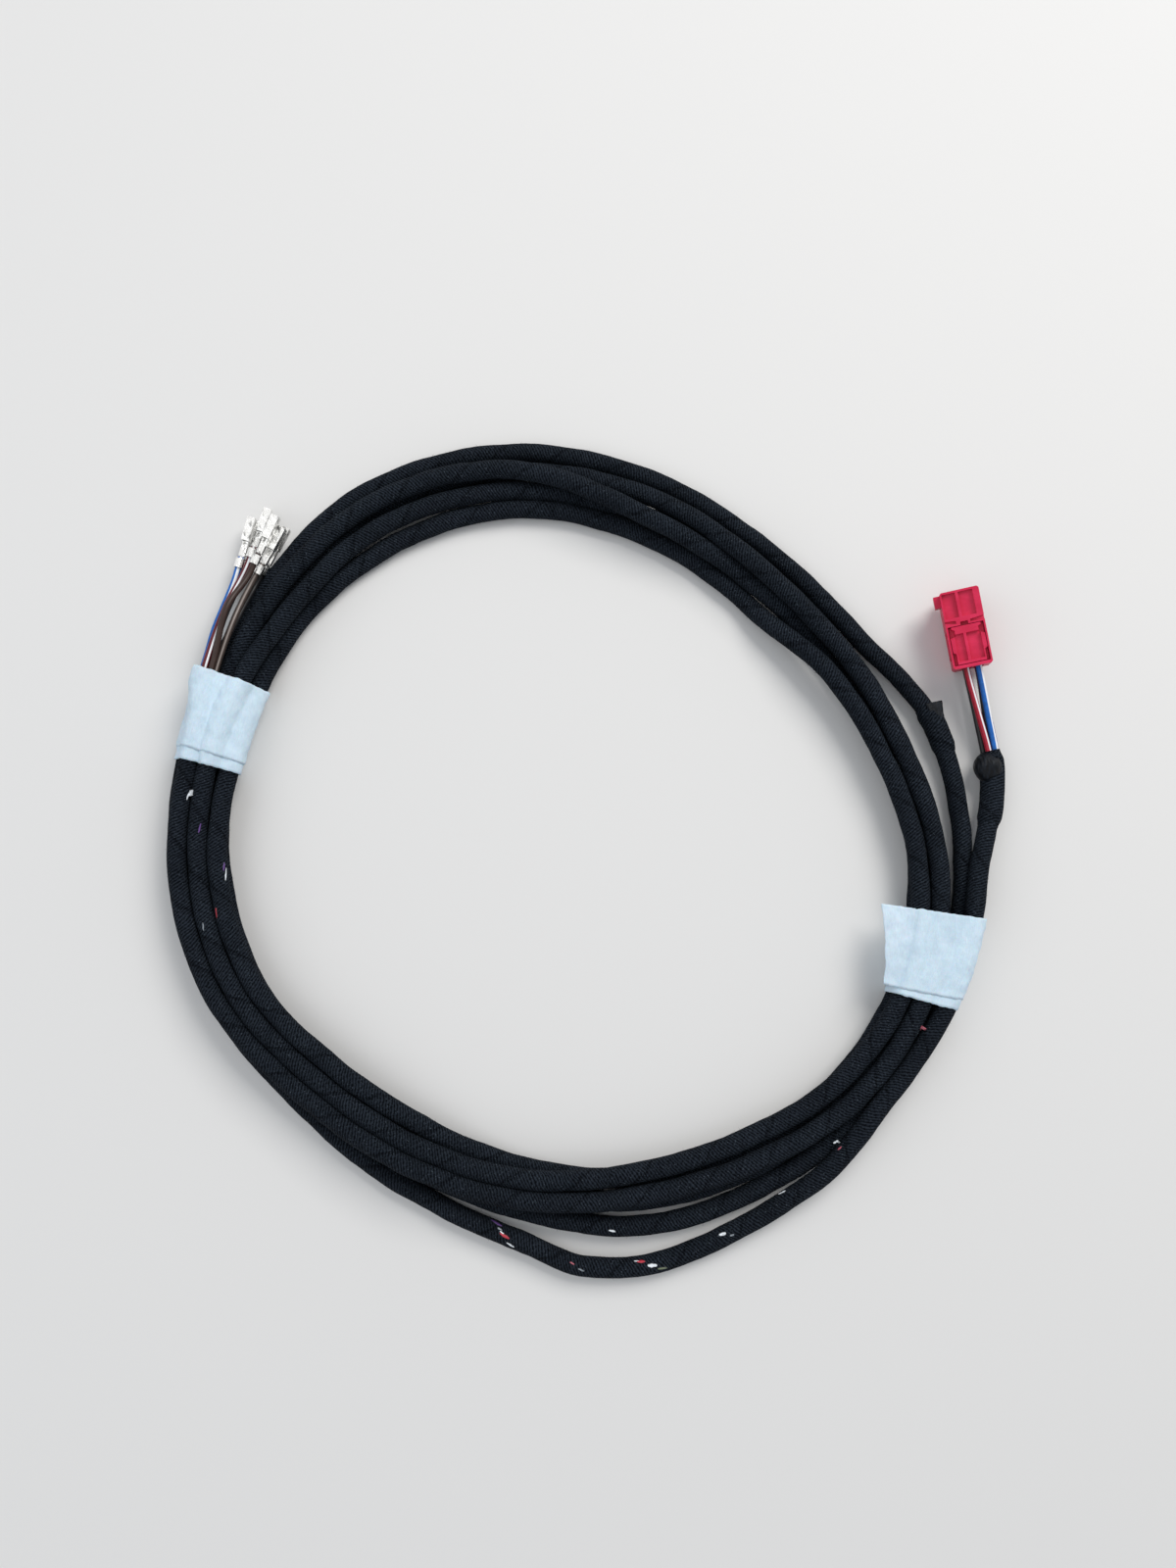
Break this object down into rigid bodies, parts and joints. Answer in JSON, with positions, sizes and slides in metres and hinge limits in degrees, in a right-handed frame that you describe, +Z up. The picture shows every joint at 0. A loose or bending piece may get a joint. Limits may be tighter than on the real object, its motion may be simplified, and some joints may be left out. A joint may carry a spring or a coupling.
{
  "type": "coiled wiring harness",
  "caption": "Cloth-taped wiring harness wound into a flat round coil, tied by paper tape strips, with a small plug housing at one end and loose crimped contacts at the other.",
  "frame": {"origin": "middle of the bounding box at the level the coil lies on", "axes": "+Z up out of the flat coil, +Y towards the connector's mating end, +X to the side that the connector is on"},
  "size_m": [0.1987, 0.1972, 0.0145],
  "materials": {
    "cloth_tape": "black fleece tape, spiral wound",
    "paper_tape": "creped paper, slightly translucent",
    "red_plastic": "satin moulded",
    "tinned_metal": "tin plated, satin",
    "wire_blue": "satin insulation",
    "wire_red": "satin insulation",
    "wire_brown": "satin insulation",
    "wire_taupe": "satin insulation",
    "wire_black": "satin insulation",
    "wire_grey": "satin insulation",
    "wire_violet": "satin insulation"
  },
  "bodies": {
    "root": {"loom": "cloth_tape", "end_wrap": "cloth_tape", "splice_wrap": "cloth_tape", "paper_strip_left": "paper_tape", "paper_strip_right": "paper_tape", "loose_wire_1": "wire_blue", "loose_contact_1": "tinned_metal", "loose_wire_2": "wire_red", "loose_contact_2": "tinned_metal", "loose_wire_3": "wire_brown", "loose_contact_3": "tinned_metal", "loose_wire_4": "wire_taupe", "loose_contact_4": "tinned_metal", "loose_wire_5": "wire_black", "loose_contact_5": "tinned_metal", "loose_wire_6": "wire_grey", "loose_contact_6": "tinned_metal", "plug_wire_1": "wire_black", "plug_contact_1": "tinned_metal", "plug_wire_2": "wire_red", "plug_contact_2": "tinned_metal", "plug_wire_3": "wire_blue", "plug_contact_3": "tinned_metal", "plug_wire_4": "wire_brown", "plug_contact_4": "tinned_metal", "plug_wire_5": "wire_grey", "plug_contact_5": "tinned_metal", "plug_wire_6": "wire_violet", "plug_contact_6": "tinned_metal", "connector_housing": "red_plastic", "connector_lock": "red_plastic"}
  },
  "joints": []
}
